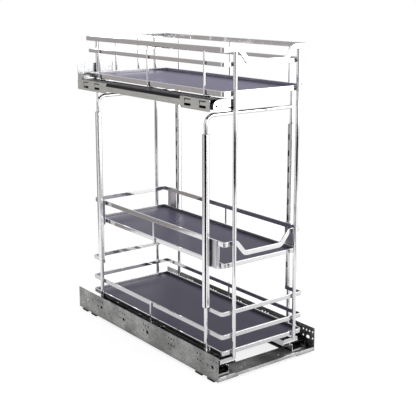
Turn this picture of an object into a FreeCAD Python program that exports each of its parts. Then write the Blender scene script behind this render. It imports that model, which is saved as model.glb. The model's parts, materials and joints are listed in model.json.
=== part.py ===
import FreeCAD, Part
import math
import os

# Base cabinet pull-out: a steel chassis that screws to the cabinet floor, two
# ball slides lying in it, one guide slide beside the top basket, and a welded
# chrome carriage with two baskets and a height-adjustable middle shelf.
# X is across the unit, -Y is the front it pulls out to, Z is up from the floor.

os.makedirs("parts", exist_ok=True)
V = FreeCAD.Vector

# Chassis
unit_width = 262.0
unit_depth = 546.0
plate_height = 50.0
chassis_sheet = 1.5
flange_width = 52.0
pan_depth = 51.0
lip_height = 5.0
foot_height = 5.0
foot_length = 22.0
foot_width = 12.0
foot_corner = 1.5
foot_pair_spacing = 40.0
foot_end_inset = 14.0
screw_hole = 5.0
screw_hole_side_inset = 81.0
screw_hole_end_inset = 25.0

# Hole groups of the side plates
group_pitch = 96.0
group_first = 63.0
group_count = 5
group_round_count = 2
group_rear_inset = 36.0
group_front_inset = 19.3
group_hole = 4.5
group_hole_step = 9.6
group_upper_level = 39.5
group_lower_level = 25.5
group_oval_length = 10.0
group_oval_height = 7.0

# Ball slides: the cabinet member, the middle member and the drawer member
bottom_slide_width = 40.0
bottom_slide_height = 14.0
bottom_slide_wall = 1.2
bottom_slide_bend = 3.0
bottom_slide_ball = 3.5
bottom_slide_side_inset = 3.5
bottom_slide_front_inset = 21.0
bottom_slide_rear_inset = 9.0
bottom_middle_drop = 8.7
top_slide_width = 19.0
top_slide_depth = 12.7
top_slide_rear_reach = 9.6
top_slide_wall = 1.0
top_slide_bend = 3.0
top_slide_ball = 2.0
top_middle_drop = 9.0
ball_gap = 0.3
pocket_gap = 0.1
cage_sheet = 0.8
cage_end_gap = 8.0
member_set_back = 6.0
ball_step = 34.0
web_gap = 0.4
travel = 500.0

# Runners that stand on the drawer members and the bars that cross them
runner_width = 40.0
runner_height = 14.0
runner_sheet = 1.5
runner_bend = 2.0
runner_overlap = 10.0
runner_set_back = 9.0
cross_bar_height = 11.0
cross_bar_width = 38.0
cross_bar_flange = 8.0

# Baskets: flat bar rails, round wires and a solid floor panel
basket_side_inset = 23.0
basket_front_inset = 17.0
basket_rear_inset = 31.0
bar_thickness = 3.0
bar_edge = 0.7
corner_radius = 6.0
frame_height = 9.0
top_frame_height = 10.0
top_rail_height = 10.0
middle_rail_height = 8.0
wire_diameter = 4.5
wire_end_inset = 54.0
rear_wire_half_spacing = 31.0
floor_panel = 2.5
side_rail_rise = 34.2
guard_rail_rise = 82.6
top_middle_rail_rise = 56.3
top_rail_rise = 83.0
tier_height = 518.0
dip_depth = 25.0
dip_floor_half = 48.0
dip_shoulder_half = 69.0
dip_corner = 8.0

# Uprights, posts, hoops and the slotted sleeves on them
rod_diameter = 8.0
upright_inset = 27.0
upright_foot_drop = 6.0
post_inset = 47.0
post_foot_drop = 2.0
hoop_level = 525.0
hoop_bend = 18.0
post_head_rise = 8.0
sleeve_side = 13.0
sleeve_wall = 1.5
sleeve_corner = 4.5
sleeve_length = 350.0
slot_first = 47.0
slot_pitch = 34.5
slot_count = 9
slot_height = 12.0
slot_width = 5.0

# Middle shelf, hung by a tab of each hook plate in a slot of each sleeve
shelf_side_gap = 2.0
shelf_end_gap = 2.5
shelf_slot = 2
shelf_rail_rise = 44.0
hook_sheet = 2.0
hook_length = 27.0
hook_height = 58.0
hook_drop = 3.5
tab_height = 5.0
tab_width = 4.0
tab_reach = 4.05
tab_rise = 23.4
tab_side_inset = 2.0
tab_seat_gap = 0.3

# Top slide fittings
mount_band_below = 7.0
mount_band_above = 4.7
mount_end_height = 22.6
mount_corner = 3.0
mount_front_end = 96.0
mount_rear_end = 125.0
mount_slot_length = 21.0
mount_slot_height = 14.0
mount_slot_drop = 1.4
mount_slot_width = 2.0
mount_slot_floor = 5.0
mount_slot_margin = 0.6
mount_slot_front = 23.0
mount_slot_rear = 37.0
mount_slot_step = 48.5
mount_ear_length = 20.0
mount_ear_height = 23.5
mount_rail_drop = 2.5
top_slide_drop = 14.0
bumper_diameter = 12.0
bumper_neck = 5.0
bumper_length = 8.0
bumper_pad_thickness = 3.0
bumper_pad_height = 14.0
bumper_pad_margin = 2.0
rear_bracket_width = 93.0
rear_bracket_height = 56.0
rear_bracket_hole_side = 14.5
rear_bracket_hole_top = 9.0
rear_bracket_hole_drop = 12.0
rear_bracket_hole_step = 66.0
carrier_sheet = 1.5
carrier_leg = 21.0
front_bracket_sheet = 1.5
front_bracket_height = 22.0
front_bracket_end = 12.0
front_bracket_slot_length = 14.0
front_bracket_slot_height = 3.0
front_bracket_slot_drop = 5.0
front_bracket_window = 7.0
front_bracket_hole = 6.0

# Fits
seat_gap = 0.05
panel_gap = 0.3
rivet_diameter = 4.0
rivet_head = 6.0
rivet_head_height = 1.2
rivet_hole = rivet_diameter + 2 * seat_gap
wire_bend = bar_edge + seat_gap + wire_diameter / 2


def box(x0, x1, y0, y1, z0, z1):
    return Part.makeBox(x1 - x0, y1 - y0, z1 - z0, V(x0, y0, z0))


def disc(diameter, length, base, axis):
    return Part.makeCylinder(diameter / 2, length, base, axis)


def mirrored(shape):
    return shape.mirror(V(0, 0, 0), V(1, 0, 0))


def save(name, solids):
    shape = solids[0] if len(solids) == 1 else Part.makeCompound(solids)
    shape.exportStep("parts/" + name + ".step")


def rounded_plan(half_width, y0, y1, radius):
    """Closed outline of a rectangle with round corners, in the XY plane."""
    lean = radius * math.sqrt(0.5)
    edges = []
    ends = []
    for sx, sy in ((1, -1), (1, 1), (-1, 1), (-1, -1)):
        x = sx * half_width
        y = y0 if sy < 0 else y1
        cx = x - sx * radius
        cy = y - sy * radius
        middle = V(cx + sx * lean, cy + sy * lean, 0)
        along_x = V(cx, y, 0)
        along_y = V(x, cy, 0)
        first, last = (along_x, along_y) if sx * sy < 0 else (along_y, along_x)
        ends.append((first, middle, last))
    for index, (first, middle, last) in enumerate(ends):
        edges.append(Part.Arc(first, middle, last).toShape())
        edges.append(Part.makeLine(last, ends[(index + 1) % 4][0]))
    return Part.Wire(edges)


def rounded_block(half_width, y0, y1, z0, height, radius):
    outline = rounded_plan(half_width, y0, y1, radius)
    outline.translate(V(0, 0, z0))
    return Part.Face(outline).extrude(V(0, 0, height))


def soften(solid):
    """Rounds the long edges of a bar, which are those that lie level."""
    edges = []
    for edge in solid.Edges:
        bounds = edge.BoundBox
        if bounds.ZLength < bar_edge:
            edges.append(edge)
    return solid.makeFillet(bar_edge, edges)


def bar_ring(half_width, y0, y1, z0, height):
    """A flat bar bent to a rectangle and welded closed."""
    outer = rounded_block(half_width, y0, y1, z0, height, corner_radius)
    half = half_width - bar_thickness
    near = y0 + bar_thickness
    far = y1 - bar_thickness
    inner = rounded_block(half, near, far, z0, height, corner_radius - bar_thickness)
    return soften(outer.cut(inner))


def dipped_front(y0, z0, height):
    """The middle of a front rail, bent down and up again to leave room for a hand."""
    top = z0 + height
    turn = math.atan2(dip_depth, dip_shoulder_half - dip_floor_half)
    lean = height / 2 * math.tan(turn / 2)
    end = dip_shoulder_half + lean + 2 * dip_corner
    right = [
        (dip_floor_half + lean, z0 - dip_depth),
        (dip_shoulder_half + lean, z0),
        (end, z0),
        (end, top),
        (dip_shoulder_half - lean, top),
        (dip_floor_half - lean, top - dip_depth),
    ]
    left = [(-x, z) for x, z in reversed(right)]
    points = [V(x, y0, z) for x, z in right + left]
    band = Part.Face(Part.makePolygon(points + points[:1])).extrude(V(0, bar_thickness, 0))
    for inside, radius in ((True, dip_corner), (False, dip_corner + height)):
        bends = []
        for edge in band.Edges:
            crosses = edge.BoundBox.YLength > bar_thickness / 2
            place = abs(edge.CenterOfMass.x)
            hollow = place > dip_shoulder_half or place < dip_floor_half
            if crosses and place < end - dip_corner and hollow == inside:
                bends.append(edge)
        band = band.makeFillet(radius, bends)
    long_edges = []
    for edge in band.Edges:
        on_face = edge.BoundBox.YLength < bar_edge
        if on_face and edge.BoundBox.XLength > bar_edge:
            long_edges.append(edge)
    return band.makeFillet(bar_edge, long_edges), end


def dipped_ring(half_width, y0, y1, z0, height):
    """A top rail: a ring whose front middle is replaced by the dip."""
    dip, end = dipped_front(y0, z0, height)
    ring = bar_ring(half_width, y0, y1, z0, height)
    far = y0 + 2 * bar_thickness
    gap = box(-end, end, y0 - bar_thickness, far, z0 - height, z0 + 2 * height)
    return ring.cut(gap).fuse(dip).removeSplitter()


def bent_rod(points, bend, diameter):
    """A round rod along straight runs, with the same bend at each inner point."""
    edges = []
    start = points[0]
    for before, corner, after in zip(points, points[1:], points[2:]):
        into = (corner - before).normalize()
        out = (after - corner).normalize()
        turn = into.getAngle(out)
        set_back = bend * math.tan(turn / 2)
        first = corner - into * set_back
        last = corner + out * set_back
        inward = (out - into).normalize()
        middle = corner + inward * (bend / math.cos(turn / 2) - bend)
        edges.append(Part.makeLine(start, first))
        edges.append(Part.Arc(first, middle, last).toShape())
        start = last
    edges.append(Part.makeLine(start, points[-1]))
    direction = (points[1] - points[0]).normalize()
    section = Part.Wire([Part.makeCircle(diameter / 2, points[0], direction)])
    return Part.Wire(edges).makePipeShell([section], True, False)


def holed(shape, centres, diameter, length, axis):
    """The shape with a round hole of one size at each centre."""
    holes = [disc(diameter, length, centre - axis * (length / 2), axis) for centre in centres]
    return shape.cut(Part.makeCompound(holes))


def rivet(centre, axis, grip):
    """A round-headed rivet: head on the outside, shank through the sheets."""
    head = disc(rivet_head, rivet_head_height, centre, axis)
    shank = disc(rivet_diameter, grip, centre - axis * grip, axis)
    return head.fuse(shank).removeSplitter()


# Levels, from the floor up
plate_level = foot_height
pan_level = plate_level + chassis_sheet
slide_level = pan_level + chassis_sheet
runner_level = slide_level + bottom_slide_height
bar_level = runner_level + runner_height
basket_level = bar_level + cross_bar_height
top_level = basket_level + tier_height
guard_top = basket_level + guard_rail_rise + frame_height
sleeve_level = guard_top + seat_gap

# Places across and along the unit
plate_outer = unit_width / 2
plate_inner = plate_outer - chassis_sheet
unit_front = -unit_depth / 2
unit_rear = unit_depth / 2
basket_half_width = plate_outer - basket_side_inset
basket_y0 = unit_front + basket_front_inset
basket_y1 = unit_rear - basket_rear_inset
basket_middle = (basket_y0 + basket_y1) / 2
front_post_y = basket_y0 + post_inset
rear_post_y = basket_y1 - post_inset
post_x = basket_half_width + rod_diameter / 2 + seat_gap
shelf_half_width = post_x - sleeve_side / 2 - shelf_side_gap - hook_sheet - seat_gap
upright_half_spacing = basket_half_width - upright_inset
wire_x = basket_half_width + wire_diameter / 2 + seat_gap
top_rail_half = wire_x + bar_thickness / 2
front_upright_y = basket_y0 - rod_diameter / 2 - seat_gap
rear_upright_y = basket_y1 + rod_diameter / 2 + seat_gap
slide_x = plate_inner - bottom_slide_side_inset - bottom_slide_width / 2
slide_y0 = unit_front + bottom_slide_front_inset
slide_y1 = unit_rear - bottom_slide_rear_inset
front_bracket_y1 = basket_y0 + front_bracket_sheet
top_slide_y0 = front_bracket_y1 + bumper_length + 2 * seat_gap
top_slide_y1 = basket_y1 + top_slide_rear_reach
top_slide_z = top_level - top_slide_drop
mount_rail_z = top_slide_z - mount_rail_drop
wire_places = (basket_y0 + wire_end_inset, basket_middle, basket_y1 - wire_end_inset)


def group_places():
    """Distance from the front edge of each group of holes along a side plate."""
    places = [unit_front + group_first + index * group_pitch for index in range(group_count)]
    places.append(unit_rear - group_rear_inset)
    return places


def side_plate():
    """Left plate: an upright wall with a flange turned in along its foot."""
    wall = box(-plate_outer, -plate_inner, unit_front, unit_rear, plate_level, plate_level + plate_height)
    foot = box(-plate_inner, -plate_outer + flange_width, unit_front, unit_rear, plate_level, pan_level)
    plate = wall.fuse(foot).removeSplitter()
    upper = plate_level + group_upper_level
    lower = plate_level + group_lower_level
    middle_x = -plate_outer + chassis_sheet / 2
    centres = []
    ovals = []
    for index, place in enumerate(group_places()):
        steps = (-0.5, 0.5) if index == 0 else (-1, 0, 1)
        for step in steps:
            centres.append(V(middle_x, place + step * group_hole_step, upper))
        if index < group_round_count:
            for step in steps:
                centres.append(V(middle_x, place + step * group_hole_step, lower))
        else:
            centres.append(V(middle_x, place + group_hole_step, lower))
            ovals.append(place - group_hole_step / 2)
    front = unit_front + group_front_inset
    for step in (-1.5, -0.5, 0.5, 1.5):
        centres.append(V(middle_x, front + step * group_hole_step, upper))
    for step in (-1.5, 1.5):
        centres.append(V(middle_x, front + step * group_hole_step, lower))
    ovals.append(front)
    plate = holed(plate, centres, group_hole, 3 * chassis_sheet, V(1, 0, 0))
    for place in ovals:
        half = (group_oval_length - group_oval_height) / 2
        slot = box(-plate_outer - chassis_sheet, -plate_inner + chassis_sheet, place - half, place + half,
                   lower - group_oval_height / 2, lower + group_oval_height / 2)
        for side in (-half, half):
            end = V(-plate_outer - chassis_sheet, place + side, lower)
            slot = slot.fuse(disc(group_oval_height, 3 * chassis_sheet, end, V(1, 0, 0)))
        plate = plate.cut(slot)
    rivets = [V(-x, y, plate_level) for x, y in flange_rivets()]
    return holed(plate, rivets, rivet_hole, 4 * chassis_sheet, V(0, 0, 1))


def flange_rivets():
    """Places, on the right half, of the rivets that hold a pan to a flange."""
    x = plate_outer - flange_width + rivet_head / 2
    inset = pan_depth / 4
    front = (unit_front + inset, unit_front + pan_depth - inset)
    return [(x, y) for y in front] + [(x, -y) for y in front]


def slide_rivets():
    """Places, on the right half, of the rivets through the cabinet members."""
    inset = pan_depth - 2 * rivet_head
    return [(slide_x, unit_front + inset), (slide_x, unit_rear - inset)]


def cross_pan():
    """Front pan: a flat sheet that rests on both flanges, with a low lip."""
    reach = plate_inner - seat_gap
    sheet = box(-reach, reach, unit_front, unit_front + pan_depth, pan_level, slide_level)
    lip = box(-reach, reach, unit_front, unit_front + chassis_sheet, slide_level, slide_level + lip_height)
    pan = sheet.fuse(lip).removeSplitter()
    screws = [V(side * (plate_outer - screw_hole_side_inset), unit_front + screw_hole_end_inset, pan_level)
              for side in (-1, 1)]
    pan = holed(pan, screws, screw_hole, 4 * chassis_sheet, V(0, 0, 1))
    places = [(x, y) for x, y in flange_rivets() + slide_rivets() if y < 0]
    centres = [V(side * x, y, pan_level) for x, y in places for side in (-1, 1)]
    return holed(pan, centres, rivet_hole, 4 * chassis_sheet, V(0, 0, 1))


def feet():
    """Four rubber pads a side, in pairs under the ends of the flange."""
    pads = []
    first = foot_end_inset + foot_length / 2
    for end in (-1, 1):
        for step in (0, foot_pair_spacing):
            y = end * (unit_depth / 2 - first - step)
            for side in (-1, 1):
                x0 = -plate_outer if side < 0 else plate_outer - foot_width
                pad = box(x0, x0 + foot_width, y - foot_length / 2, y + foot_length / 2, 0, foot_height)
                corners = [e for e in pad.Edges if e.BoundBox.ZLength > foot_height / 2]
                pads.append(pad.makeFillet(foot_corner, corners))
    return pads


def chassis_rivets():
    grip = 2 * chassis_sheet
    solids = []
    for side in (-1, 1):
        for x, y in flange_rivets():
            solids.append(rivet(V(side * x, y, slide_level), V(0, 0, 1), grip))
        for x, y in slide_rivets():
            top = slide_level + bottom_slide_wall
            solids.append(rivet(V(side * x, y, top), V(0, 0, 1), bottom_slide_wall + chassis_sheet))
    return solids


class Slide:
    """A three-member ball slide. Its section is drawn across (a) and away from
    the face it is fixed by (b); place() turns that section into the unit."""

    def __init__(self, width, depth, wall, bend, ball, middle_drop, length):
        self.depth = depth
        self.wall = wall
        self.bend = bend
        self.ball = ball
        self.length = length
        self.short = length - 2 * member_set_back
        self.cage_length = self.short - travel / 2 - cage_end_gap
        self.race = ball + 2 * ball_gap
        self.outer = width / 2
        self.middle = self.outer - wall - self.race
        self.inner = self.middle - wall - self.race
        self.middle_top = depth - web_gap
        self.middle_web = depth - middle_drop
        self.inner_foot = self.middle_web + wall + 2 * web_gap + cage_sheet
        self.ball_level = (self.inner_foot + self.middle_top) / 2
        self.flap = self.ball / 2 + web_gap

    def channel(self, half, web0, tip, thickness):
        """Section of a channel: a web from web0 and two walls that end at tip."""
        outward = 1 if tip > web0 else -1
        web1 = web0 + outward * thickness
        inner = half - thickness
        return [(-half, web0), (half, web0), (half, tip), (inner, tip), (inner, web1), (-inner, web1),
                (-inner, tip), (-half, tip)]

    def members(self, place, at):
        outer = self.channel(self.outer, 0, self.middle_top, self.wall)
        middle = self.channel(self.middle, self.middle_web, self.middle_top, self.wall)
        inner = self.channel(self.inner, self.depth, self.inner_foot, self.wall)
        outer = place(outer, self.length)
        for inset, radius in ((0, self.bend), (self.wall, self.bend - self.wall)):
            corners = [at(side * (self.outer - inset), inset, 0) for side in (-1, 1)]
            bends = []
            for edge in outer.Edges:
                if min(edge.CenterOfMass.distanceToPoint(corner) for corner in corners) < seat_gap:
                    bends.append(edge)
            outer = outer.makeFillet(radius, bends)
        return outer, place(middle, self.short), place(inner, self.short)

    def cage(self, place, at, half, web0):
        """A bent strip that holds two rows of balls, and its balls."""
        section = self.channel(half + cage_sheet / 2, web0, self.ball_level + self.flap, cage_sheet)
        strip = place(section, self.cage_length)
        count = int(self.cage_length // ball_step)
        first = -(count - 1) / 2 * ball_step
        across = at(1, 0, 0) - at(0, 0, 0)
        centres = []
        for row in (-1, 1):
            for index in range(count):
                centres.append(at(row * half, self.ball_level, first + index * ball_step))
        strip = holed(strip, centres, self.ball + 2 * pocket_gap, 4 * cage_sheet, across)
        return [strip] + [Part.makeSphere(self.ball / 2, centre) for centre in centres]

    def cages(self, place, at):
        outer_half = self.outer - self.wall - self.race / 2
        inner_half = self.middle - self.wall - self.race / 2
        outer_web = self.middle_web - web_gap - cage_sheet
        inner_web = self.middle_web + self.wall + web_gap
        return self.cage(place, at, outer_half, outer_web), self.cage(place, at, inner_half, inner_web)


bottom_slide = Slide(bottom_slide_width, bottom_slide_height, bottom_slide_wall,
                     bottom_slide_bend, bottom_slide_ball, bottom_middle_drop, slide_y1 - slide_y0)
top_slide = Slide(top_slide_width, top_slide_depth, top_slide_wall,
                  top_slide_bend, top_slide_ball, top_middle_drop, top_slide_y1 - top_slide_y0)


def bottom_place(section, length):
    """Lays a slide section flat, on the left, with its web down."""
    start = (slide_y0 + slide_y1 - length) / 2
    points = [V(a - slide_x, start, slide_level + b) for a, b in section]
    return Part.Face(Part.makePolygon(points + points[:1])).extrude(V(0, length, 0))


def bottom_at(a, b, along):
    return V(a - slide_x, (slide_y0 + slide_y1) / 2 + along, slide_level + b)


def top_place(section, length):
    """Stands the section up beside the top basket, with its web outwards."""
    start = (top_slide_y0 + top_slide_y1 - length) / 2
    points = [V(-plate_inner + b, start, top_slide_z + a) for a, b in section]
    return Part.Face(Part.makePolygon(points + points[:1])).extrude(V(0, length, 0))


def top_at(a, b, along):
    return V(-plate_inner + b, (top_slide_y0 + top_slide_y1) / 2 + along, top_slide_z + a)


def save_bottom_slides():
    outer, middle, inner = bottom_slide.members(bottom_place, bottom_at)
    outer_cage, inner_cage = bottom_slide.cages(bottom_place, bottom_at)
    places = [V(-x, y, slide_level) for x, y in slide_rivets()]
    outer = holed(outer, places, rivet_hole, 4 * bottom_slide_wall, V(0, 0, 1))
    screws = [V(-x, y, runner_level) for x, y in runner_screws()]
    inner = holed(inner, screws, rivet_hole, 4 * bottom_slide_wall, V(0, 0, 1))
    pieces = {
        "cabinet_member": [outer],
        "middle_member": [middle],
        "drawer_member": [inner],
        "outer_ball_cage": outer_cage,
        "inner_ball_cage": inner_cage,
    }
    for name, solids in pieces.items():
        save("left_slide_" + name, solids)
        save("right_slide_" + name, [mirrored(solid) for solid in solids])


def save_top_slide():
    outer, middle, inner = top_slide.members(top_place, top_at)
    outer_cage, inner_cage = top_slide.cages(top_place, top_at)
    outer = holed(outer, mount_rivets(), rivet_hole, 4 * chassis_sheet, V(1, 0, 0))
    outer = outer.cut(Part.makeCompound([mount_window(y) for y in mount_slot_places()]))
    save("top_slide_outer_member", [outer])
    save("top_slide_middle_member", [middle])
    save("top_slide_inner_member", [inner])
    save("top_slide_outer_ball_cage", outer_cage)
    save("top_slide_inner_ball_cage", inner_cage)


# Runners and cross bars

runner_edge = slide_x + bottom_slide.inner
runner_outer = runner_edge - runner_overlap
runner_y0 = basket_y0 + runner_set_back
runner_y1 = basket_y1 - runner_set_back


def runner_screws():
    """Places, on the right half, of the screws from runner to drawer member."""
    x = runner_outer + runner_overlap / 2
    return [(x, y) for y in wire_places]


def bar_screws():
    """Places of the screws that hold the cross bars down on the runners."""
    x = runner_outer - runner_width / 2
    reach = cross_bar_width / 2 - cross_bar_flange / 2
    places = []
    for middle in (wire_places[0], wire_places[-1]):
        for side in (-1, 1):
            for step in (-reach, reach):
                places.append((side * x, middle + step))
    return places


def runner():
    """Right runner: a channel, open below, closed in front, with a side foot."""
    x0 = runner_outer - runner_width
    shell = box(x0, runner_outer, runner_y0, runner_y1, runner_level, bar_level)
    crown = [e for e in shell.Edges if e.BoundBox.YLength > runner_width and e.BoundBox.ZMin > runner_level]
    shell = shell.makeFillet(runner_bend, crown)
    hollow = box(x0 + runner_sheet, runner_outer - runner_sheet, runner_y0 + runner_sheet, runner_y1 + 1,
                 runner_level - 1, bar_level - runner_sheet)
    foot = box(runner_outer - runner_sheet, runner_edge, runner_y0, runner_y1, runner_level,
               runner_level + runner_sheet)
    body = shell.cut(hollow).fuse(foot).removeSplitter()
    screws = [V(x, y, runner_level) for x, y in runner_screws()]
    body = holed(body, screws, rivet_hole, 4 * runner_sheet, V(0, 0, 1))
    screws = [V(x, y, bar_level) for x, y in bar_screws() if x > 0]
    return holed(body, screws, rivet_hole, 4 * runner_sheet, V(0, 0, 1))


def cross_bar(middle):
    """A hat section from side to side, on which the bottom basket stands."""
    reach = basket_half_width
    half = cross_bar_width / 2
    crown = half - cross_bar_flange
    points = [
        V(-reach, -half, 0),
        V(-reach, -half, runner_sheet),
        V(-reach, -crown, runner_sheet),
        V(-reach, -crown, cross_bar_height),
        V(-reach, crown, cross_bar_height),
        V(-reach, crown, runner_sheet),
        V(-reach, half, runner_sheet),
        V(-reach, half, 0),
        V(-reach, crown - runner_sheet, 0),
        V(-reach, crown - runner_sheet, cross_bar_height - runner_sheet),
        V(-reach, runner_sheet - crown, cross_bar_height - runner_sheet),
        V(-reach, runner_sheet - crown, 0),
    ]
    bar = Part.Face(Part.makePolygon(points + points[:1])).extrude(V(2 * reach, 0, 0))
    bar.translate(V(0, middle, bar_level))
    centres = [V(x, y, bar_level) for x, y in bar_screws() if abs(y - middle) < cross_bar_width]
    return holed(bar, centres, rivet_hole, 4 * runner_sheet, V(0, 0, 1))


def carriage_screws():
    solids = []
    for x, y in bar_screws():
        solids.append(rivet(V(x, y, bar_level + runner_sheet), V(0, 0, 1), 2 * runner_sheet))
    for x, y in runner_screws():
        for side in (-1, 1):
            centre = V(side * x, y, runner_level + runner_sheet)
            solids.append(rivet(centre, V(0, 0, 1), runner_sheet + bottom_slide_wall))
    return solids


# Baskets

def hoop_wire(half_width, y, floor, top):
    """A wire that runs up one side, under the basket floor and up the other."""
    x = half_width + wire_diameter / 2 + seat_gap
    z = floor - wire_diameter / 2 - seat_gap
    points = [V(-x, y, top), V(-x, y, z), V(x, y, z), V(x, y, top)]
    return bent_rod(points, wire_bend, wire_diameter)


def rear_wire(x, y1, floor, top):
    """A wire up the back of a basket, hooked under its frame."""
    y = y1 + wire_diameter / 2 + seat_gap
    z = floor - wire_diameter / 2 - seat_gap
    points = [V(x, y - wire_bend - 2 * bar_thickness, z), V(x, y, z), V(x, y, top)]
    return bent_rod(points, wire_bend, wire_diameter)


def tray(half_width, y0, y1, floor):
    """A solid floor panel that drops into the frame and rests on its wires."""
    inset = bar_thickness + panel_gap
    radius = corner_radius - inset
    panel = rounded_block(half_width - inset, y0 + inset, y1 - inset, floor + seat_gap, floor_panel, radius)
    return panel


def guard(y0, y1):
    """A short rail bent round one end of the bottom basket, post to post."""
    level = basket_level + guard_rail_rise
    ring = bar_ring(basket_half_width, basket_y0, basket_y1, level, frame_height)
    reach = basket_half_width + bar_thickness
    return ring.common(box(-reach, reach, y0, y1, level - 1, level + frame_height + 1))


def save_bottom_basket():
    level = basket_level + side_rail_rise
    post_half = rod_diameter / 2
    half = basket_half_width
    save("bottom_frame", [bar_ring(half, basket_y0, basket_y1, basket_level, frame_height)])
    save("bottom_side_rail", [bar_ring(half, basket_y0, basket_y1, level, frame_height)])
    save("bottom_wire", [hoop_wire(half, basket_middle, basket_level, level + frame_height)])
    save("bottom_front_guard", [guard(basket_y0 - 1, front_post_y + post_half)])
    save("bottom_rear_guard", [guard(rear_post_y - post_half, basket_y1 + 1)])
    save("bottom_tray", [tray(half, basket_y0, basket_y1, basket_level)])


def save_top_basket():
    half = basket_half_width
    offset = top_rail_half - half
    rail_level = top_level + top_rail_rise
    save("top_frame", [bar_ring(half, basket_y0, basket_y1, top_level, top_frame_height)])
    middle_level = top_level + top_middle_rail_rise
    save("top_middle_rail", [bar_ring(half, basket_y0, basket_y1, middle_level, middle_rail_height)])
    near = basket_y0 - offset
    far = basket_y1 + offset
    save("top_rail", [dipped_ring(top_rail_half, near, far, rail_level, top_rail_height)])
    wires = []
    for y in wire_places:
        wires.append(hoop_wire(half, y, top_level, rail_level - seat_gap))
    for x in (-rear_wire_half_spacing, rear_wire_half_spacing):
        wires.append(rear_wire(x, basket_y1, top_level, rail_level - seat_gap))
    save("top_wires", wires)
    save("top_tray", [tray(half, basket_y0, basket_y1, top_level)])


# Uprights, posts and hoops

def upright(x, y):
    foot = basket_level - upright_foot_drop
    head = top_level + top_rail_rise - seat_gap
    return disc(rod_diameter, head - foot, V(x, y, foot), V(0, 0, 1))


def post_foot():
    return basket_level - post_foot_drop


def hoop(y):
    """Left post that bends in under the top basket and butts on the right post."""
    end = post_x - rod_diameter / 2 - seat_gap
    points = [V(-post_x, y, post_foot()), V(-post_x, y, hoop_level), V(end, y, hoop_level)]
    return bent_rod(points, hoop_bend, rod_diameter)


def right_post(y):
    length = top_level + post_head_rise - post_foot()
    return disc(rod_diameter, length, V(post_x, y, post_foot()), V(0, 0, 1))


def sleeve(y):
    """Right sleeve: a square tube with slots in the wall that faces inwards."""
    half = sleeve_side / 2
    outer = rounded_block(half, -half, half, sleeve_level, sleeve_length, sleeve_corner)
    hollow_half = half - sleeve_wall
    hollow_corner = sleeve_corner - sleeve_wall
    hollow = rounded_block(hollow_half, -hollow_half, hollow_half, sleeve_level, sleeve_length,
                           hollow_corner)
    tube = outer.cut(hollow)
    slots = []
    for index in range(slot_count):
        low = slot_level(index) - slot_height / 2
        slots.append(box(-half - sleeve_wall, -hollow_half + sleeve_wall / 2, -slot_width / 2,
                         slot_width / 2, low, low + slot_height))
    tube = tube.cut(Part.makeCompound(slots))
    tube.translate(V(post_x, y, 0))
    return tube


def slot_level(index):
    return sleeve_level + slot_first + index * slot_pitch


def save_carriage_frame():
    for name, y in (("front", front_upright_y), ("rear", rear_upright_y)):
        save("left_" + name + "_upright", [upright(-upright_half_spacing, y)])
        save("right_" + name + "_upright", [upright(upright_half_spacing, y)])
    for name, y in (("front", front_post_y), ("rear", rear_post_y)):
        save(name + "_hoop", [hoop(y)])
        save("right_" + name + "_post", [right_post(y)])
        save("right_" + name + "_sleeve", [sleeve(y)])
        save("left_" + name + "_sleeve", [mirrored(sleeve(y))])


# Middle shelf

def hook_near(post_y, outward):
    return post_y - outward * (tab_width / 2 + tab_side_inset)


def hook_wire_y(post_y, outward):
    """The shelf's end wires run down the far edges of the hook plates."""
    return hook_near(post_y, outward) + outward * (hook_length + seat_gap + wire_diameter / 2)


def hook_plate(post_y, outward):
    """Right hook plate: welded beside the shelf, with a tab for a sleeve slot."""
    x0 = shelf_half_width + seat_gap
    x1 = x0 + hook_sheet
    near = hook_near(post_y, outward)
    far = near + outward * hook_length
    low = shelf_level() - hook_drop
    plate = box(x0, x1, min(near, far), max(near, far), low, low + hook_height)
    seat = shelf_level() + tab_rise
    tab = box(x1, x1 + tab_reach, post_y - tab_width / 2, post_y + tab_width / 2, seat, seat + tab_height)
    return plate.fuse(tab).removeSplitter()


def shelf_level():
    """The shelf hangs by its tabs on the lower ends of one row of slots."""
    return slot_level(shelf_slot) - slot_height / 2 + tab_seat_gap - tab_rise


def save_middle_shelf():
    offset = bar_thickness / 2 + wire_diameter / 2 + seat_gap
    inner_half = shelf_half_width - offset
    y0 = basket_y0 + shelf_end_gap
    y1 = basket_y1 - shelf_end_gap
    rail_level = shelf_level() + shelf_rail_rise
    save("shelf_frame", [bar_ring(inner_half, y0 + offset, y1 - offset, shelf_level(), frame_height)])
    save("shelf_top_rail", [dipped_ring(shelf_half_width, y0, y1, rail_level, top_rail_height)])
    wires = []
    for y in (hook_wire_y(front_post_y, -1), basket_middle, hook_wire_y(rear_post_y, 1)):
        wires.append(hoop_wire(inner_half, y, shelf_level(), rail_level - seat_gap))
    save("shelf_wires", wires)
    save("shelf_tray", [tray(inner_half, y0 + offset, y1 - offset, shelf_level())])
    plates = [hook_plate(front_post_y, -1), hook_plate(rear_post_y, 1)]
    save("shelf_hook_plates", plates + [mirrored(plate) for plate in plates])


# Fittings of the top slide

def mount_rivets():
    """Places of the rivets that hold the outer member to its mount rail."""
    front = top_slide_y0 + mount_front_end + rivet_head
    rear = top_slide_y1 - mount_rear_end - rivet_head
    return [V(-plate_inner, y, mount_rail_z) for y in (front, (front + rear) / 2, rear)]


def ear_level():
    return top_slide_z + mount_ear_height


def ear_rivet():
    y = top_slide_y1 - mount_ear_length / 2
    return V(-plate_inner, y, ear_level() - rivet_head)


def mount_slot_places():
    """Middles of the hook openings, two at each end of the mount rail."""
    places = []
    for index in range(2):
        places.append(top_slide_y0 + mount_slot_front + index * mount_slot_step)
        places.append(top_slide_y1 - mount_slot_rear - index * mount_slot_step)
    return places


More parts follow.
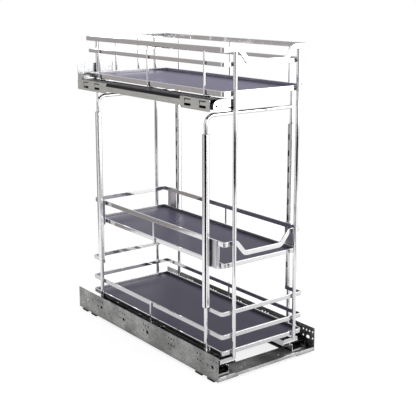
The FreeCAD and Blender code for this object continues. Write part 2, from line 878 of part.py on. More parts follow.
def mount_window(y):
    """Window in the outer member's web that lets a hook in behind an opening."""
    half = mount_slot_length / 2 - mount_slot_margin
    middle = top_slide_z - mount_slot_drop
    rise = mount_slot_height / 2 - mount_slot_margin
    x1 = -plate_inner + top_slide_wall + mount_slot_margin
    return box(-plate_outer, x1, y - half, y + half, middle - rise, middle + rise)


def mount_slot(y):
    """One hook opening: an open foot and a slit that frees a tongue above it."""
    x0 = -plate_outer - chassis_sheet
    x1 = -plate_inner + chassis_sheet / 2
    y0 = y - mount_slot_length / 2
    y1 = y + mount_slot_length / 2
    middle = top_slide_z - mount_slot_drop
    low = middle - mount_slot_height / 2
    high = middle + mount_slot_height / 2
    foot = box(x0, x1, y0, y1, low, low + mount_slot_floor)
    top = box(x0, x1, y0, y1, high - mount_slot_width, high)
    side = box(x0, x1, y1 - mount_slot_width, y1, middle, high)
    return Part.makeCompound([foot, top.fuse(side)])


def mount_rail():
    """A strip against the cabinet side, deeper at its ends, where it is slotted."""
    x0 = -plate_outer
    x1 = -plate_inner
    low = mount_rail_z - mount_band_below
    high = mount_rail_z + mount_band_above
    end = mount_end_height / 2
    front_end = top_slide_y0 + mount_front_end
    rear_start = top_slide_y1 - mount_rear_end
    rail = box(x0, x1, top_slide_y0, top_slide_y1, low, high)
    for y0, y1 in ((top_slide_y0, front_end), (rear_start, top_slide_y1)):
        piece = box(x0, x1, y0, y1, mount_rail_z - end, mount_rail_z + end)
        corners = [e for e in piece.Edges if e.BoundBox.XLength > chassis_sheet / 2]
        rail = rail.fuse(piece.makeFillet(mount_corner, corners))
    ear_y = top_slide_y1 - mount_ear_length
    ear = box(x0, x1, ear_y, top_slide_y1 - mount_corner, top_slide_z, ear_level())
    rail = rail.fuse(ear).removeSplitter()
    for y in mount_slot_places():
        rail = rail.cut(mount_slot(y))
    return holed(rail, mount_rivets() + [ear_rivet()], rivet_hole, 4 * chassis_sheet, V(1, 0, 0))


def rear_bracket():
    """Upright plate behind the basket that fixes the slide to the cabinet back."""
    x0 = -plate_inner + seat_gap
    low = mount_rail_z - top_slide_width / 2
    high = low + rear_bracket_height
    y0 = top_slide_y1 + seat_gap
    plate = box(x0, x0 + rear_bracket_width, y0, y0 + chassis_sheet, low, high)
    tab_low = top_slide_z + top_slide_width / 2 + seat_gap
    tab = box(x0, x0 + chassis_sheet, top_slide_y1 - mount_ear_length, y0, tab_low, ear_level())
    bracket = plate.fuse(tab).removeSplitter()
    first = V(x0 + rear_bracket_hole_side, y0, high - rear_bracket_hole_top)
    below = first - V(0, 0, rear_bracket_hole_drop)
    beside = first + V(rear_bracket_hole_step, 0, 0)
    bracket = holed(bracket, [first, below, beside], screw_hole, 4 * chassis_sheet, V(0, 1, 0))
    return holed(bracket, [ear_rivet()], rivet_hole, 6 * chassis_sheet, V(1, 0, 0))


def top_slide_rivets():
    solids = []
    for centre in mount_rivets():
        head = centre + V(top_slide_wall, 0, 0)
        solids.append(rivet(head, V(1, 0, 0), chassis_sheet + top_slide_wall))
    head = ear_rivet() + V(seat_gap + chassis_sheet, 0, 0)
    solids.append(rivet(head, V(1, 0, 0), 2 * chassis_sheet + seat_gap))
    return solids


# Angle, bracket and bumper that tie the top basket to its slide

carrier_x = -plate_inner + top_slide_depth + seat_gap
carrier_top = top_level - wire_diameter - 2 * seat_gap
front_bracket_x1 = front_bracket_end - upright_half_spacing
slot_x = -upright_half_spacing - rod_diameter


def carrier():
    """Angle on the inner member; its top leg carries the top basket's wires."""
    low = top_slide_z - top_slide_width / 2
    y0 = front_bracket_y1 + seat_gap
    upright_leg = box(carrier_x, carrier_x + carrier_sheet, y0, basket_y1, low, carrier_top)
    top_leg = box(carrier_x, carrier_x + carrier_leg, y0, basket_y1,
                  carrier_top - carrier_sheet, carrier_top)
    return upright_leg.fuse(top_leg).removeSplitter()


def bumper_x():
    return -plate_inner + top_slide_depth / 2


def front_bracket():
    """Plate across the front that ties the carrier to the left front upright."""
    half = front_bracket_height / 2
    x0 = -plate_inner + half
    x1 = front_bracket_x1
    y0 = basket_y0
    y1 = front_bracket_y1
    plate = box(x0, x1, y0, y1, mount_rail_z - half, mount_rail_z + half)
    plate = plate.fuse(disc(2 * half, y1 - y0, V(x0, y0, mount_rail_z), V(0, 1, 0))).removeSplitter()
    slot_z = mount_rail_z - front_bracket_slot_drop
    slot_half = front_bracket_slot_length / 2
    slot = box(slot_x - slot_half, slot_x + slot_half, y0 - 1, y1 + 1,
               slot_z - front_bracket_slot_height / 2, slot_z + front_bracket_slot_height / 2)
    window_x = carrier_x + carrier_sheet
    window = box(window_x, window_x + front_bracket_window, y0 - 1, y1 + 1,
                 mount_rail_z - front_bracket_window, mount_rail_z + front_bracket_window)
    plate = plate.cut(Part.makeCompound([slot, window]))
    hole = V(x1 - front_bracket_hole, y0, mount_rail_z)
    plate = holed(plate, [hole], front_bracket_hole, 4 * front_bracket_sheet, V(0, 1, 0))
    neck = V(bumper_x(), y0, mount_rail_z)
    return holed(plate, [neck], bumper_neck + 2 * seat_gap, 4 * front_bracket_sheet, V(0, 1, 0))


def bumper():
    """Rubber button behind the bracket, which meets the slide when it shuts."""
    axis = V(0, 1, 0)
    y0 = front_bracket_y1 + seat_gap
    head = disc(bumper_diameter, bumper_length, V(bumper_x(), y0, mount_rail_z), axis)
    start = V(bumper_x(), basket_y0, mount_rail_z)
    neck = disc(bumper_neck, front_bracket_sheet + seat_gap, start, axis)
    return head.fuse(neck).removeSplitter()


def bumper_pad():
    """Rubber pad behind the bracket, which shows in its slot and at its end."""
    x0 = slot_x - front_bracket_slot_length / 2 - bumper_pad_margin
    y0 = front_bracket_y1 + seat_gap
    half = bumper_pad_height / 2
    pad = box(x0, front_bracket_x1 + bumper_pad_margin, y0, y0 + bumper_pad_thickness,
              mount_rail_z - half, mount_rail_z + half)
    corners = [e for e in pad.Edges if e.BoundBox.YLength > bumper_pad_thickness / 2]
    return pad.makeFillet(bumper_pad_margin, corners)


# Write every piece

save("left_side_plate", [side_plate()])
save("right_side_plate", [mirrored(side_plate())])
save("front_cross_pan", [cross_pan()])
save("rear_cross_pan", [cross_pan().mirror(V(0, 0, 0), V(0, 1, 0))])
save("rubber_feet", feet())
save("chassis_rivets", chassis_rivets())
save_bottom_slides()
save_top_slide()
save("top_slide_mount_rail", [mount_rail()])
save("top_slide_rear_bracket", [rear_bracket()])
save("top_slide_rivets", top_slide_rivets())
save("top_slide_carrier", [carrier()])
save("top_slide_front_bracket", [front_bracket()])
save("top_slide_bumper", [bumper(), bumper_pad()])
save("right_runner", [runner()])
save("left_runner", [mirrored(runner())])
save("front_cross_bar", [cross_bar(wire_places[0])])
save("rear_cross_bar", [cross_bar(wire_places[-1])])
save("carriage_screws", carriage_screws())
save_bottom_basket()
save_carriage_frame()
save_middle_shelf()
save_top_basket()
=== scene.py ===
import bpy, bmesh, json, math
from mathutils import Matrix, Vector


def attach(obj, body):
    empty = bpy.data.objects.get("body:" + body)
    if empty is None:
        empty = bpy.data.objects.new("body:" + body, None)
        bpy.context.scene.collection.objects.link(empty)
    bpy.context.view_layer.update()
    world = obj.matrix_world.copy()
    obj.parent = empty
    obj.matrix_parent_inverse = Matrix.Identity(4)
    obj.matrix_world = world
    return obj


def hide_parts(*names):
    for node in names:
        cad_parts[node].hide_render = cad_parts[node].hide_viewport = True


# Base cabinet pull-out, dressed from the chassis upwards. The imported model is
# loaded as the fixed frame, and lengths are in metres in its coordinates.
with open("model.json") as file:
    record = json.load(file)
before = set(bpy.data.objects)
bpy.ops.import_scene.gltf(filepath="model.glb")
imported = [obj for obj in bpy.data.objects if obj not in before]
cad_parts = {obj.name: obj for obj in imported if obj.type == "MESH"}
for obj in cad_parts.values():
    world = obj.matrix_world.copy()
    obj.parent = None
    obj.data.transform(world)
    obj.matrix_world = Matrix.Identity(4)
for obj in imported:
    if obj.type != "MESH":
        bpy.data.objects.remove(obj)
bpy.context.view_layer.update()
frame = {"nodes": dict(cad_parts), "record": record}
nodes = frame["nodes"]


# Side plates: hot-dip galvanised steel sheet, pierced and then folded along
# the foot. Spangles a few millimetres across give a crisp mottle, and the
# coat's bloom lays a softer cloud over it.
mm = 0.001
sheet_edge = 0.3 * mm
crease = math.radians(35)
multiplied = {"data_type": "RGBA", "blend_type": "MULTIPLY"}


def linear(hex_colour):
    """An sRGB hex colour as a linear RGBA tuple."""
    parts = [int(hex_colour[i:i + 2], 16) / 255 for i in (1, 3, 5)]
    return tuple(c / 12.92 if c <= 0.04045 else ((c + 0.055) / 1.055) ** 2.4
                 for c in parts) + (1.0,)


def add(tree, kind, values=None, links=None, **settings):
    """Adds a node with its settings, socket values and incoming links."""
    node = tree.nodes.new("ShaderNode" + kind)
    for key, value in settings.items():
        setattr(node, key, value)
    for name, value in (values or {}).items():
        node.inputs[name].default_value = value
    for name, source in (links or {}).items():
        tree.links.new(source, node.inputs[name])
    return node


def new_finish(name, metallic, roughness):
    """A new material: its tree, its Principled shader and its object coordinates."""
    material = bpy.data.materials.new(name)
    material.use_nodes = True
    tree = material.node_tree
    shader = tree.nodes["Principled BSDF"]
    shader.inputs["Metallic"].default_value = metallic
    shader.inputs["Roughness"].default_value = roughness
    place = add(tree, "TexCoord").outputs["Object"]
    return material, tree, shader, place


def shades(ramp, *stops):
    """Sets a colour ramp's stops from (position, hex colour) pairs."""
    while len(ramp.color_ramp.elements) < len(stops):
        ramp.color_ramp.elements.new(0.5)
    for element, (position, colour) in zip(ramp.color_ramp.elements, stops):
        element.position = position
        element.color = linear(colour)


def painted_recess_shade(tree, colour, reach, low):
    """A colour darkened in holes and folds by painted shade, from ambient occlusion."""
    deep, clear = 0.25, 0.8
    hollow_shade = add(tree, "AmbientOcclusion", {"Distance": reach}, samples=6)
    depth = add(tree, "MapRange", {"From Min": deep, "From Max": clear,
                                   "To Min": low, "To Max": 1.0}, {"Value": hollow_shade.outputs["AO"]})
    mix = add(tree, "Mix", {"Factor": 1.0}, {"A": colour, "B": depth.outputs["Result"]},
              **multiplied)
    return mix.outputs["Result"]


def spangled(name, spangles, specks, clouds, smooth, dull):
    """Galvanised sheet, from the shades of its spangles, specks and clouds."""
    spangle_size, speck_size, cloud_size = 4.5 * mm, 3 * mm, 50 * mm
    material, tree, shader, place = new_finish(name, 1.0, dull)
    spangle = add(tree, "TexVoronoi", {"Scale": 1 / spangle_size}, {"Vector": place})
    grain = add(tree, "TexNoise", {"Scale": 1 / speck_size, "Detail": 3.0}, {"Vector": place})
    cloud = add(tree, "TexNoise", {"Scale": 1 / cloud_size, "Detail": 4.0}, {"Vector": place})
    grey = add(tree, "ValToRGB", links={"Fac": spangle.outputs["Color"]})
    shades(grey, (0.0, spangles[0]), (1.0, spangles[1]))
    speck = add(tree, "ValToRGB", links={"Fac": grain.outputs["Fac"]})
    shades(speck, (0.34, specks), (0.58, "#ffffff"))
    tone = add(tree, "ValToRGB", links={"Fac": cloud.outputs["Fac"]})
    shades(tone, (0.38, clouds), (0.62, "#ffffff"))
    mix = add(tree, "Mix", {"Factor": 1.0},
              {"A": grey.outputs["Color"], "B": tone.outputs["Color"]}, **multiplied)
    mix = add(tree, "Mix", {"Factor": 1.0},
              {"A": mix.outputs["Result"], "B": speck.outputs["Color"]}, **multiplied)
    # Painted shade: the sheet darkens in its holes and folds.
    colour = painted_recess_shade(tree, mix.outputs["Result"], 25 * mm, 0.04)
    tree.links.new(colour, shader.inputs["Base Color"])
    rough = add(tree, "MapRange", {"To Min": smooth, "To Max": dull},
                {"Value": spangle.outputs["Distance"]})
    tree.links.new(rough.outputs["Result"], shader.inputs["Roughness"])
    return material


def dress(material, names):
    """Gives CAD nodes a material."""
    for name in names:
        nodes[name].data.materials.clear()
        nodes[name].data.materials.append(material)


def ease(names, width):
    """Rounds the edges of CAD nodes, once their loose triangles are joined into faces."""
    for name in names:
        join = nodes[name].modifiers.new("weld", "WELD")
        join.merge_threshold = 0.01 * mm
        flat = nodes[name].modifiers.new("flats", "DECIMATE")
        flat.decimate_type = "DISSOLVE"
        flat.angle_limit = math.radians(1)
        edge = nodes[name].modifiers.new("edges", "BEVEL")
        edge.width = width
        edge.segments = 2
        edge.limit_method = "ANGLE"
        edge.angle_limit = crease
        edge.harden_normals = True


galvanised = spangled("galvanised_sheet", ("#a9aaa8", "#c6c7c5"), "#d6d6d6", "#cccccc", 0.34, 0.5)
side_plates = ["left_side_plate", "right_side_plate"]
dress(galvanised, side_plates)
ease(side_plates, sheet_edge)


# Cross pans: galvanised sheet, riveted across both flanges at the front and
# the rear. Skin-passing after the coating flattens the spangles and leaves a
# paler, smoother face.
skin_passed = spangled("skin_passed_sheet", ("#dddede", "#f4f4f4"), "#e4e4e4", "#c8c8c8", 0.3, 0.4)
pans = ["front_cross_pan", "rear_cross_pan"]
dress(skin_passed, pans)
ease(pans, sheet_edge)


# Rivets: zinc coated blind rivets with a domed head, in which the pulled
# mandrel leaves a small round dimple. Eight hold the pans to the side plates
# and four hold the cabinet members of the bottom slides to the pans.
rivet_profile = ((0.0, 0.5), (0.8, 0.5), (0.95, 0.95), (1.5, 1.15), (2.3, 0.9), (2.85, 0.4),
                 (3.0, 0.0), (2.0, 0.0))
pan_rivet_x, pan_rivet_z, pan_rivet_grip = 82.0, 8.0, 3.0
slide_rivet_x, slide_rivet_z, slide_rivet_grip = 106.0, 9.2, 2.7


def turned(bm, profile, grip, centre, lobe=0.0):
    """Turns a head and its shank, and lobes the wall of a screw's socket; in mm."""
    shank_radius, socket_inner, socket_outer = 2.0, 0.5, 1.4
    known = set(bm.verts)
    outline = profile + ((shank_radius, -grip), (0.0, -grip))
    line = [bm.verts.new(Vector((r * mm, 0, h * mm))) for r, h in outline]
    edges = [bm.edges.new(pair) for pair in zip(line, line[1:])]
    bmesh.ops.spin(bm, geom=line + edges, cent=(0, 0, 0), axis=(0, 0, 1), angle=math.tau,
                   steps=24, use_merge=True)
    fresh = [v for v in bm.verts if v not in known]
    for v in fresh:
        if v.co.z > 0 and socket_inner * mm < v.co.xy.length < socket_outer * mm:
            v.co.xy *= 1 + lobe * math.cos(6 * math.atan2(v.co.y, v.co.x))
    bmesh.ops.translate(bm, vec=Vector(centre) * mm, verts=fresh)


def placed(name, data):
    """An object of the scene that holds a mesh, a lamp or a camera."""
    thing = bpy.data.objects.new(name, data)
    bpy.context.scene.collection.objects.link(thing)
    return thing


def shaped(name, bm):
    """A finished bmesh as an object of the scene."""
    mesh = bpy.data.meshes.new(name)
    bm.to_mesh(mesh)
    bm.free()
    return placed(name, mesh)


def piece(name, bm, material, body):
    """A finished bmesh as a piece that rides on a body."""
    bmesh.ops.remove_doubles(bm, verts=bm.verts, dist=0.001 * mm)
    bmesh.ops.recalc_face_normals(bm, faces=bm.faces)
    thing = shaped(name, bm)
    thing.data.shade_smooth()
    thing.data.set_sharp_from_angle(angle=crease)
    thing.data.materials.append(material)
    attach(thing, body)
    return thing


bm = bmesh.new()
for side in (-1, 1):
    for y in (-260.25, -234.75, 234.75, 260.25):
        turned(bm, rivet_profile, pan_rivet_grip, (side * pan_rivet_x, y, pan_rivet_z))
    for y in (-234.0, 234.0):
        turned(bm, rivet_profile, slide_rivet_grip, (side * slide_rivet_x, y, slide_rivet_z))
blind_rivets = piece("blind_rivets", bm, galvanised, "root")
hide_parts("chassis_rivets")


# Feet and bumper: moulded black rubber. The feet are pushed on to the flanges,
# and the bumper meets the guide slide's front end. Soft rubber is dull, with a
# slight bloom.
rubber, tree, shader, place = new_finish("moulded_rubber", 0.0, 0.72)
bloom = add(tree, "TexNoise", {"Scale": 1 / (4 * mm), "Detail": 3.0}, {"Vector": place})
black = add(tree, "ValToRGB", links={"Fac": bloom.outputs["Fac"]})
shades(black, (0.0, "#141416"), (1.0, "#26262a"))
tree.links.new(black.outputs["Color"], shader.inputs["Base Color"])
rubber_parts = ["rubber_feet", "top_slide_bumper"]
moulded_edge = 0.5 * mm
dress(rubber, rubber_parts)
ease(rubber_parts, moulded_edge)


# Ball slides: cabinet members, ball cages, mount rail and carrier of zinc
# plated cold-rolled strip. The rolls leave fine lines along it, too fine to
# show at their real 0.2 mm, so they are drawn 1.2 mm apart.
def strip(name, dark, light, roughness):
    """Cold-rolled strip in one of its plated colours."""
    line_step, rolled_out, spread = 1.2 * mm, (1.0, 0.03, 1.0), 0.08
    material, tree, shader, place = new_finish(name, 1.0, roughness)
    stretch = add(tree, "Mapping", {"Scale": rolled_out}, {"Vector": place})
    lines = add(tree, "TexNoise", {"Scale": 1 / line_step, "Detail": 3.0},
                {"Vector": stretch.outputs["Vector"]})
    grey = add(tree, "ValToRGB", links={"Fac": lines.outputs["Fac"]})
    shades(grey, (0.3, dark), (0.7, light))
    # Painted shade: the strip darkens in hollows and between members.
    colour = painted_recess_shade(tree, grey.outputs["Color"], 12 * mm, 0.2)
    tree.links.new(colour, shader.inputs["Base Color"])
    rough = add(tree, "MapRange", {"To Min": roughness - spread, "To Max": roughness + spread},
                {"Value": lines.outputs["Fac"]})
    tree.links.new(rough.outputs["Result"], shader.inputs["Roughness"])
    return material


zinc = strip("zinc_plated_strip", "#cacdc9", "#e8eae7", 0.3)
dress(zinc, ["left_slide_cabinet_member", "right_slide_cabinet_member", "top_slide_mount_rail",
             "top_slide_carrier", "top_slide_rivets"]
      + [name for name in nodes if name.endswith("_ball_cage")])
ease(["top_slide_mount_rail"], sheet_edge)


# Running members, and the guide slide's outer one: the same strip, black zinc
# plated. The passivated coat is nearly black, with a dull metal sheen, and its
# dark colour also paints the shade inside the slides and behind their openings.
shade_black_zinc = strip("black_zinc_strip", "#232427", "#3a3b3f", 0.4)
running = ("_middle_member", "_drawer_member", "_inner_member")
dress(shade_black_zinc, [name for name in nodes if name.endswith(running)] + ["top_slide_outer_member"])


# Rear bracket: pressed sheet, bright zinc plated, riveted to the mount rail
# and screwed to the cabinet back. It is pale and even, with a soft cloud.
bright, tree, shader, place = new_finish("bright_zinc_plate", 1.0, 0.34)
cloud = add(tree, "TexNoise", {"Scale": 1 / (20 * mm), "Detail": 3.0}, {"Vector": place})
pale = add(tree, "ValToRGB", links={"Fac": cloud.outputs["Fac"]})
shades(pale, (0.3, "#cfd0d0"), (0.7, "#e8e9e9"))
# Painted shade: the bracket darkens in its hollows.
colour = painted_recess_shade(tree, pale.outputs["Color"], 12 * mm, 0.3)
tree.links.new(colour, shader.inputs["Base Color"])
dress(bright, ["top_slide_rear_bracket"])
ease(["top_slide_rear_bracket"], sheet_edge)


# Carriage: runners, cross bars, front bracket and basket rails of steel bar
# and sheet, nickel and chromium plated. The bright plate mirrors the room,
# with a slight wave left by the rolled steel.
def plating(name, dark, light, roughness, wave_height, hollow_shade):
    """Chromium plate over drawn or rolled steel, bright or satin."""
    wave_length = 12 * mm
    material, tree, shader, place = new_finish(name, 1.0, roughness)
    wave = add(tree, "TexNoise", {"Scale": 1 / wave_length, "Detail": 2.0}, {"Vector": place})
    film = add(tree, "ValToRGB", links={"Fac": wave.outputs["Fac"]})
    shades(film, (0.0, dark), (1.0, light))
    # Painted shade: the plate darkens in hollows, down to the given level.
    colour = painted_recess_shade(tree, film.outputs["Color"], 10 * mm, hollow_shade)
    tree.links.new(colour, shader.inputs["Base Color"])
    bump = add(tree, "Bump", {"Strength": wave_height, "Distance": mm},
               {"Height": wave.outputs["Fac"]})
    tree.links.new(bump.outputs["Normal"], shader.inputs["Normal"])
    return material


# Every plated node takes it, and rods, sleeves and hook plates change it below.
chrome = plating("chromed_steel", "#d2d1d4", "#e0dfe0", 0.08, 0.05, 0.3)
dress(chrome, [part["node"] for part in frame["record"]["subparts"]
               if part["material_slot"] == "chromed_steel"])
ease(["left_runner", "right_runner", "front_cross_bar", "rear_cross_bar",
      "top_slide_front_bracket"], sheet_edge)


# Screws: zinc plated, with a low head and a six-lobe socket. Eight hold the
# cross bars to the runners and six the runners to the drawer members, all
# driven from above.
screw_profile = ((0.0, 0.35), (1.1, 0.35), (1.35, 1.1), (2.0, 1.2), (2.6, 1.05), (2.95, 0.6),
                 (3.0, 0.0), (2.0, 0.0))
bar_screw_x, bar_screw_z, bar_screw_grip = 85.4, 37.5, 3.0
runner_screw_x, runner_screw_z, runner_screw_grip = 110.4, 23.5, 2.7
socket_lobe = 0.2
bm = bmesh.new()
for side in (-1, 1):
    for y in (-217.0, -187.0, 173.0, 203.0):
        turned(bm, screw_profile, bar_screw_grip, (side * bar_screw_x, y, bar_screw_z),
               socket_lobe)
    for y in (-202.0, -7.0, 188.0):
        turned(bm, screw_profile, runner_screw_grip, (side * runner_screw_x, y, runner_screw_z),
               socket_lobe)
lobed_screws = piece("lobed_screws", bm, zinc, "carriage")
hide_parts("carriage_screws")


# Rods and wires: uprights, posts and hoops of 8 mm drawn steel rod and basket
# wires of 4.5 mm, bent, welded and chromium plated. Drawn rod takes a paler
# mirror than the flat bar.
rod_radius, wire_radius = 4.0, 2.25
rods = ("_upright", "_hoop", "_post", "_wire", "_wires")
rod_chrome = plating("chromed_rod", "#dcdbdd", "#efeef0", 0.09, 0.03, 0.5)
dress(rod_chrome, [name for name in nodes if name.endswith(rods)])


# Carriage welds: each wire, rod and post is welded to the rails before it is
# plated, which leaves a small smooth bead in the corner on each side of it.
bead_offset, bead_width = 0.62, 0.3  # of the rod's radius
bead_inset, bead_depth = 0.4, 0.75  # of the gap that the rod leaves there
bead_height = 0.42  # of the rail's height
frame_band = (47.0, 56.0)
side_band = (81.2, 90.2)
guard_band = (129.6, 138.6)
top_band = (565.0, 575.0)
middle_band = (621.3, 629.3)
side_face, front_face, rear_face = 108.0, -256.0, 242.0
upright_x, rear_wire_x = 81.0, 31.0


def weld(bm, x, y, band, facing, radius):
    """Two beads beside a rod that touches a rail at x, y between two levels; in mm."""
    low, high = band
    normal = Vector(facing)
    along = Vector((-normal.y, normal.x, 0))
    reach = bead_offset * radius
    gap = radius - math.sqrt(radius ** 2 - reach ** 2)
    size = normal * (gap * bead_depth) + along * (radius * bead_width)
    tall = (high - low) * bead_height
    middle = Vector((x, y, (low + high) / 2)) + normal * gap * bead_inset
    for side in (-1, 1):
        centre = middle + along * side * reach
        shape = Matrix.Diagonal((abs(size.x) * mm, abs(size.y) * mm, tall * mm, 1.0))
        bmesh.ops.create_icosphere(bm, subdivisions=2, radius=1.0,
                                   matrix=Matrix.Translation(centre * mm) @ shape)


bm = bmesh.new()
for side in (-1, 1):
    outward = (side, 0, 0)
    for band in (frame_band, side_band):
        weld(bm, side * side_face, -7.0, band, outward, wire_radius)
    for band in (top_band, middle_band):
        for y in (-202.0, -7.0, 188.0):
            weld(bm, side * side_face, y, band, outward, wire_radius)
        weld(bm, side * rear_wire_x, rear_face, band, (0, 1, 0), wire_radius)
    for band in (frame_band, side_band, guard_band, top_band, middle_band):
        weld(bm, side * upright_x, front_face, band, (0, -1, 0), rod_radius)
        weld(bm, side * upright_x, rear_face, band, (0, 1, 0), rod_radius)
    for band in (frame_band, side_band, guard_band):
        for y in (-209.0, 195.0):
            weld(bm, side * side_face, y, band, outward, rod_radius)
piece("carriage_welds", bm, chrome, "carriage")


# Sleeves: roll-formed square tube in satin chrome, softer and paler than the
# bars. The hooks rub the slotted inner faces dull, and the left front sleeve
# has a painted reflection down its outer corner: a dark line, wider at the top.
slotted_face, rubbed_shade = (105.6 * mm, 106.2 * mm), 0.65
reflection_line_edge, reflection_line_shade = (331.25 * mm, 331.45 * mm), 0.01
reflection_line_direction = (-1.0, -1.0, 0.0015)
satin = plating("satin_chromed_tube", "#ececee", "#f8f8f9", 0.24, 0.03, 0.1)
tree = satin.node_tree
shader = tree.nodes["Principled BSDF"]
plate_colour = shader.inputs["Base Color"].links[0].from_socket
place = add(tree, "TexCoord").outputs["Object"]
axes = add(tree, "SeparateXYZ", links={0: place})
across = add(tree, "Math", links={0: axes.outputs["X"]}, operation="ABSOLUTE")
rubbed = add(tree, "MapRange", {"From Min": slotted_face[0], "From Max": slotted_face[1],
                                "To Min": rubbed_shade, "To Max": 1.0},
             {"Value": across.outputs[0]})
# Painted reflection: a dark line down the left front sleeve's outer corner.
reflection_corner = add(tree, "VectorMath", {1: reflection_line_direction}, {0: place}, operation="DOT_PRODUCT")
line = add(tree, "MapRange", {"From Min": reflection_line_edge[0], "From Max": reflection_line_edge[1],
                              "To Min": 1.0, "To Max": reflection_line_shade},
           {"Value": reflection_corner.outputs["Value"]})
wear_and_reflection = add(tree, "Math", links={0: rubbed.outputs["Result"], 1: line.outputs["Result"]},
           operation="MULTIPLY")
mix = add(tree, "Mix", {"Factor": 1.0}, {"A": plate_colour, "B": wear_and_reflection.outputs[0]}, **multiplied)
tree.links.new(mix.outputs["Result"], shader.inputs["Base Color"])
dress(satin, [name for name in nodes if name.endswith("_sleeve")])


# Shelf welds: the same beads, where the middle shelf's three wires meet its
# frame rail on both sides.
shelf_band = (225.55, 234.55)
shelf_face = 97.7
bm = bmesh.new()
for side in (-1, 1):
    for y in (-234.3, -7.0, 220.3):
        weld(bm, side * shelf_face, y, shelf_band, (side, 0, 0), wire_radius)
piece("shelf_welds", bm, chrome, "middle_shelf")


# Hook plates: four pieces of pressed sheet, welded to the middle shelf and
# plated with it. They are flat, so their mirror is even and soft.
hook_chrome = plating("chromed_sheet", "#dad9de", "#ecebf0", 0.3, 0.02, 0.85)
dress(hook_chrome, ["shelf_hook_plates"])
ease(["shelf_hook_plates"], sheet_edge)


# Trays: satin laminate panels laid on the basket wires, in a dark plum grey
# that pales where it is seen at a low angle. The paper's grain is finer than
# shows, so its flecks are drawn at 1.5 mm.
laminate, tree, shader, place = new_finish("satin_laminate", 0.0, 0.36)
shader.inputs["Specular IOR Level"].default_value = 0.18
shader.inputs["Specular Tint"].default_value = linear("#d2caf2")
shader.inputs["Sheen Weight"].default_value = 0.3
shader.inputs["Sheen Roughness"].default_value = 0.4
shader.inputs["Sheen Tint"].default_value = linear("#a79be0")
fleck = add(tree, "TexNoise", {"Scale": 1 / (1.5 * mm), "Detail": 4.0}, {"Vector": place})
plum = add(tree, "ValToRGB", links={"Fac": fleck.outputs["Fac"]})
shades(plum, (0.0, "#201e29"), (1.0, "#2b2935"))
# Painted shade: the laminate darkens near the basket parts.
colour = painted_recess_shade(tree, plum.outputs["Color"], 20 * mm, 0.35)
tree.links.new(colour, shader.inputs["Base Color"])
trays = ["bottom_tray", "shelf_tray", "top_tray"]
dress(laminate, trays)
ease(trays, moulded_edge)


# Studio floor: seamless paper. The camera sees it nearly white. Mirrors see a
# painted shadow on it, grey near the part, mostly in front and behind, and white further off.
floor_half_width = 12.0
seen_white = 0.82
shadow_oval = (1.0, 0.45, 1.0)
mirrored_shadow_fade = {"From Min": 0.15, "From Max": 0.9, "To Min": 0.5, "To Max": 1.0}


def emptied(block):
    """The node tree of a material or world, with its nodes taken out."""
    block.use_nodes = True
    block.node_tree.nodes.clear()
    return block.node_tree


bm = bmesh.new()
bmesh.ops.create_grid(bm, x_segments=1, y_segments=1, size=floor_half_width)
floor = shaped("studio_floor", bm)
paper = bpy.data.materials.new("seamless_paper")
tree = emptied(paper)
ray = add(tree, "LightPath")
mirror = add(tree, "Math", links={0: ray.outputs["Is Glossy Ray"],
                                  1: ray.outputs["Is Transmission Ray"]}, operation="MAXIMUM")
place = add(tree, "TexCoord").outputs["Object"]
oblong = add(tree, "Mapping", {"Scale": shadow_oval}, {"Vector": place})
away = add(tree, "VectorMath", links={0: oblong.outputs["Vector"]}, operation="LENGTH")
# Painted shadow: mirrors see the paper darker near the part.
far = add(tree, "MapRange", mirrored_shadow_fade, {"Value": away.outputs["Value"]})
shown = add(tree, "Math", links={0: mirror.outputs[0], 1: far.outputs["Result"]},
            operation="MULTIPLY")
seen = add(tree, "Math", {1: seen_white}, {0: ray.outputs["Is Camera Ray"]}, operation="MULTIPLY")
glow = add(tree, "Math", links={0: shown.outputs[0], 1: seen.outputs[0]}, operation="ADD")
surface = add(tree, "BsdfDiffuse", {"Color": linear("#9a9a9a")})
lit = add(tree, "Emission", links={"Strength": glow.outputs[0]})
both = add(tree, "AddShader", links={0: surface.outputs[0], 1: lit.outputs[0]})
add(tree, "OutputMaterial", links={"Surface": both.outputs[0]})
floor.data.materials.append(paper)


# Studio air: white where it is seen or mirrored, and a plain dim white where
# it lights the part.
ambient = 0.55
world = bpy.data.worlds.new("studio")
bpy.context.scene.world = world
tree = emptied(world)
ray = add(tree, "LightPath")
seen = add(tree, "Math", links={0: ray.outputs["Is Camera Ray"], 1: ray.outputs["Is Glossy Ray"]},
           operation="ADD")
seen = add(tree, "Math", links={0: seen.outputs[0], 1: ray.outputs["Is Transmission Ray"]},
           operation="ADD", use_clamp=True)
level = add(tree, "MapRange", {"To Min": ambient, "To Max": 1.0}, {"Value": seen.outputs[0]})
sky = add(tree, "Background", {"Color": linear("#ffffff")}, {"Strength": level.outputs["Result"]})
add(tree, "OutputWorld", links={"Surface": sky.outputs[0]})


# Soft boxes: one to the right of the camera and one above, both turned to the
# middle of the part.
aim = Vector((0.0, 0.0, 0.3))


def soft_box(name, at, wide, high, watts):
    """A lit rectangle that faces the middle of the part."""
    lamp = bpy.data.lights.new(name, "AREA")
    lamp.shape = "RECTANGLE"
    lamp.size = wide
    lamp.size_y = high
    lamp.energy = watts
    thing = placed(name, lamp)
    thing.location = at
    thing.rotation_euler = (aim - Vector(at)).to_track_quat("-Z", "Y").to_euler()


soft_box("front_box", (1.5, -2.2, 0.9), 1.8, 1.6, 34.0)
soft_box("top_box", (0.1, -0.2, 2.3), 1.6, 1.6, 18.0)


# Flags: cards that lie on the floor and stand up at their far edge. Only
# mirrors see them, so the plated parts have something grey or dark to show.
card_level = 2 * mm


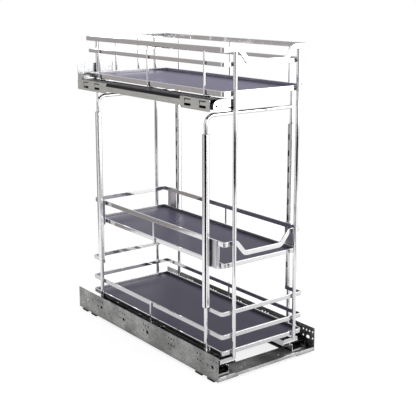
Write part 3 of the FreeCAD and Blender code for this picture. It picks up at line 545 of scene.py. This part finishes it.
def flag(name, bearings, near, far, height, shade):
    """A card between two bearings, from the rear towards the right, that reflections see."""
    start = Matrix.Rotation(-math.radians(bearings[0]), 3, "Z")
    outline = ((0, near, card_level), (0, far, card_level), (0, far, height))
    bm = bmesh.new()
    line = [bm.verts.new(start @ Vector(point)) for point in outline]
    edges = [bm.edges.new(pair) for pair in zip(line, line[1:])]
    bmesh.ops.spin(bm, geom=line + edges, cent=(0, 0, 0), axis=(0, 0, 1),
                   angle=-math.radians(bearings[1] - bearings[0]), steps=12)
    card = shaped(name, bm)
    felt = bpy.data.materials.new(name)
    tree = emptied(felt)
    lit = add(tree, "Emission", {"Color": linear(shade)})
    add(tree, "OutputMaterial", links={"Surface": lit.outputs[0]})
    card.data.materials.append(felt)
    card.visible_camera = False
    card.visible_diffuse = False
    card.visible_shadow = False


# Grey ones at the left rear, which the faces on the left mirror.
flag("left_flag", (-57, -14), 0.95, 2.6, 0.02, "#a09c9a")
flag("left_wall_flag", (-57, -14), 2.61, 2.63, 2.2, "#b9b5b3")
# Black ones on both sides of the camera and behind it, for the rods and bends.
flag("camera_left_flag", (-127, -101), 0.9, 2.6, 0.9, "#0c0c0e")
flag("camera_right_flag", (-168, -143), 0.9, 2.6, 0.9, "#0c0c0e")
flag("far_flag", (-205, -85), 1.9, 2.6, 0.12, "#0c0c0e")
# Pale ones at the rear, which rods mirror at a low angle.
flag("rear_left_flag", (-14, 33), 0.6, 2.6, 0.55, "#bdbcc0")
flag("rear_right_flag", (33, 110), 0.6, 2.6, 0.12, "#97959b")


# Camera: in front on the left and a little above, as the photograph was
# taken; its place and lens were found from the part's own edges and corners.
camera = bpy.data.cameras.new("camera")
camera.sensor_width = 36.0
camera.lens = 77.24
camera.shift_y = -0.10
yaw = 0.654132
pitch = 0.1975034
look = Vector((math.sin(yaw) * math.cos(pitch), math.cos(yaw) * math.cos(pitch), -math.sin(pitch)))
eye = placed("camera", camera)
eye.location = (-1.14198, -1.55940, 0.76569)
eye.rotation_euler = look.to_track_quat("-Z", "Y").to_euler()
bpy.context.scene.camera = eye
bpy.context.scene.view_settings.view_transform = "Standard"
